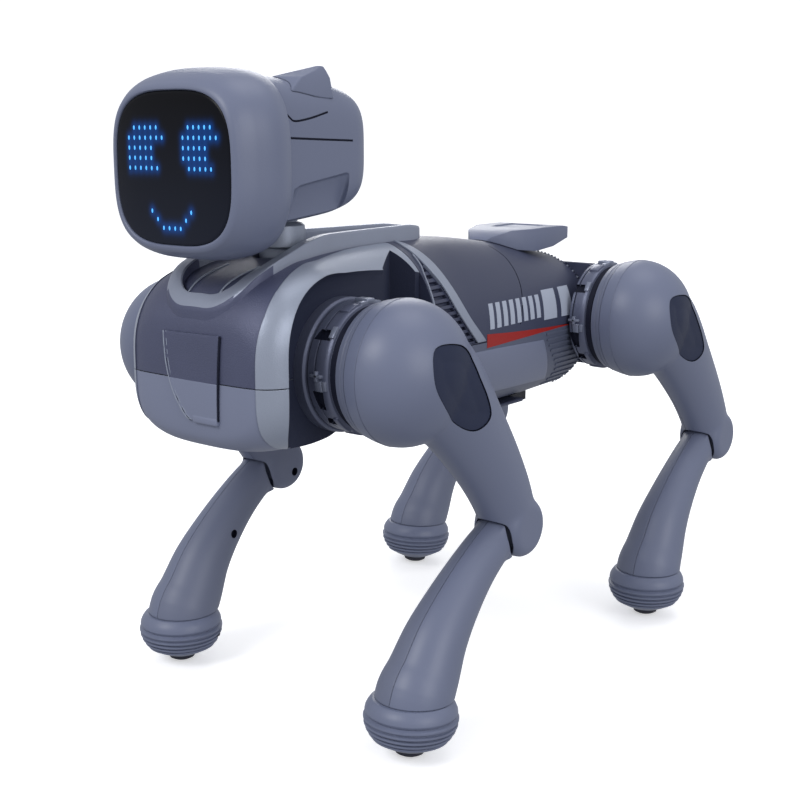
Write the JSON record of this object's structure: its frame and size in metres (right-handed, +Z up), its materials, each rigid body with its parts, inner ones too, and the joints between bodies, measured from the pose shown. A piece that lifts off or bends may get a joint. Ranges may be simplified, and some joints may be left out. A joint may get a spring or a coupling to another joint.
{
  "type": "quadruped robot dog",
  "caption": "Walking toy robot dog with a boxy head and dark face screen, moulded torso, round hip drums and bent two-link legs ending in ribbed boots with soft pads.",
  "frame": {"origin": "centre of the bounding box on the floor, under the torso", "axes": "+Z up, -Y the way the dog faces, +X its left side"},
  "size_m": [0.1882, 0.3373, 0.277],
  "materials": {
    "shell": "satin slate-blue moulded plastic",
    "shell_dark": "fine-textured dark moulded plastic",
    "trim": "satin light grey plastic",
    "inlay": "fine-textured dark plastic",
    "rubber": "matte soft rubber",
    "lens": "glossy smoked plastic",
    "steel": "ground steel",
    "board": "green circuit board",
    "battery": "blue shrink wrap",
    "black": "black moulded plastic"
  },
  "bodies": {
    "torso": {"chest_upper_shell": "shell_dark", "chest_lower_shell": "shell", "chest_hatch": "shell", "neck_rim": "trim", "back_upper_shell": "shell_dark", "belly_shell": "shell", "battery_cover": "shell_dark", "charging_port": "black", "rump_shell": "shell_dark", "front_gearbox": "black", "rear_gearbox": "black", "tail_fin": "shell", "battery_pack": "battery", "main_board": "board", "speaker": "black", "neck_servo": "black", "hip_hub_front_left": "shell_dark", "hip_hub_front_right": "shell_dark", "hip_hub_rear_left": "shell_dark", "hip_hub_rear_right": "shell_dark"},
    "head": {"neck_post": "shell", "face_shell": "shell", "screen_lens": "lens", "led_board": "board", "head_rear_shell": "shell", "ear_left": "shell", "ear_right": "shell"},
    "switch": {"power_switch": "trim"},
    "thigh_front_left": {"thigh_outer_shell_front_left": "shell", "thigh_inner_shell_front_left": "shell", "thigh_inlay_front_left": "inlay", "knee_pin_front_left": "steel"},
    "shin_front_left": {"shin_outer_shell_front_left": "shell", "shin_inner_shell_front_left": "shell", "foot_boot_front_left": "shell", "foot_pad_front_left": "rubber"},
    "thigh_front_right": {"thigh_outer_shell_front_right": "shell", "thigh_inner_shell_front_right": "shell", "thigh_inlay_front_right": "inlay", "knee_pin_front_right": "steel"},
    "shin_front_right": {"shin_outer_shell_front_right": "shell", "shin_inner_shell_front_right": "shell", "foot_boot_front_right": "shell", "foot_pad_front_right": "rubber"},
    "thigh_rear_left": {"thigh_outer_shell_rear_left": "shell", "thigh_inner_shell_rear_left": "shell", "thigh_inlay_rear_left": "inlay", "knee_pin_rear_left": "steel"},
    "shin_rear_left": {"shin_outer_shell_rear_left": "shell", "shin_inner_shell_rear_left": "shell", "foot_boot_rear_left": "shell", "foot_pad_rear_left": "rubber"},
    "thigh_rear_right": {"thigh_outer_shell_rear_right": "shell", "thigh_inner_shell_rear_right": "shell", "thigh_inlay_rear_right": "inlay", "knee_pin_rear_right": "steel"},
    "shin_rear_right": {"shin_outer_shell_rear_right": "shell", "shin_inner_shell_rear_right": "shell", "foot_boot_rear_right": "shell", "foot_pad_rear_right": "rubber"}
  },
  "joints": [
    {"name": "head_yaw", "type": "hinge", "parent": "torso", "child": "head", "pos_m": [0, -0.109, 0.21], "axis": [0, 0, 1], "range_deg": [-30, 30]},
    {"name": "power_slide", "type": "slide", "parent": "torso", "child": "switch", "axis": [1, 0, 0], "range_m": [0, 0.007]},
    {"name": "hip_front_left", "type": "hinge", "parent": "torso", "child": "thigh_front_left", "pos_m": [0.0742, -0.1065, 0.1573], "axis": [1, 0, 0], "range_deg": [-20, 20]},
    {"name": "knee_front_left", "type": "hinge", "parent": "thigh_front_left", "child": "shin_front_left", "pos_m": [0.0742, -0.04402, 0.08134], "axis": [1, 0, 0], "range_deg": [-6, 20]},
    {"name": "hip_front_right", "type": "hinge", "parent": "torso", "child": "thigh_front_right", "pos_m": [-0.0742, -0.1065, 0.1573], "axis": [1, 0, 0], "range_deg": [-20, 20]},
    {"name": "knee_front_right", "type": "hinge", "parent": "thigh_front_right", "child": "shin_front_right", "pos_m": [-0.0742, -0.0395, 0.0853], "axis": [1, 0, 0], "range_deg": [-6, 20]},
    {"name": "hip_rear_left", "type": "hinge", "parent": "torso", "child": "thigh_rear_left", "pos_m": [0.0742, 0.0885, 0.1573], "axis": [1, 0, 0], "range_deg": [-20, 20]},
    {"name": "knee_rear_left", "type": "hinge", "parent": "thigh_rear_left", "child": "shin_rear_left", "pos_m": [0.0742, 0.1555, 0.0853], "axis": [1, 0, 0], "range_deg": [-6, 20]},
    {"name": "hip_rear_right", "type": "hinge", "parent": "torso", "child": "thigh_rear_right", "pos_m": [-0.0742, 0.0885, 0.1573], "axis": [1, 0, 0], "range_deg": [-20, 20]},
    {"name": "knee_rear_right", "type": "hinge", "parent": "thigh_rear_right", "child": "shin_rear_right", "pos_m": [-0.0742, 0.15098, 0.08134], "axis": [1, 0, 0], "range_deg": [-6, 20]}
  ]
}
